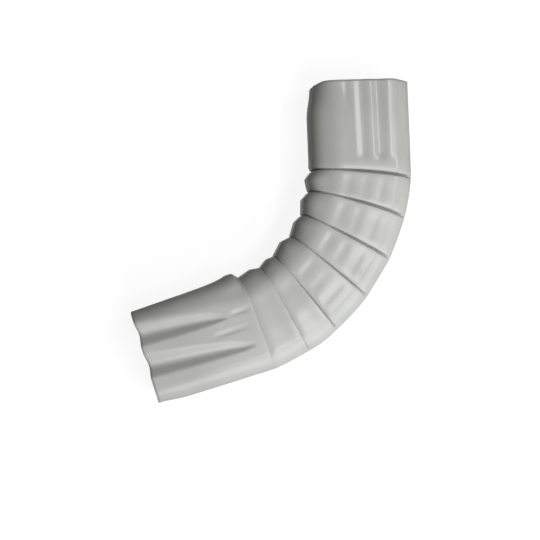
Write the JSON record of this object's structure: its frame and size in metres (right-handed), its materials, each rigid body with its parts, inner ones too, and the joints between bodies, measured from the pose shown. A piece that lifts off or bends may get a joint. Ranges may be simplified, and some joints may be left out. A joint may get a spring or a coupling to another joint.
{
  "type": "downspout elbow",
  "caption": "Crimped sheet-metal downspout elbow of rounded rectangular section with fluted collars, turning rainwater from a gutter's outlet or pipe away from the wall.",
  "frame": {"origin": "centre of the inlet's mouth, on the elbow's middle plane", "axes": "+Y out of the inlet's mouth, +Z square to the plane of the bend, so that the elbow lies on a wide side and its outlet runs towards -X"},
  "size_m": [0.2421, 0.2651, 0.0604],
  "materials": {
    "enamel": "light grey baked enamel, gloss"
  },
  "bodies": {
    "root": {"elbow": "enamel"}
  },
  "joints": []
}
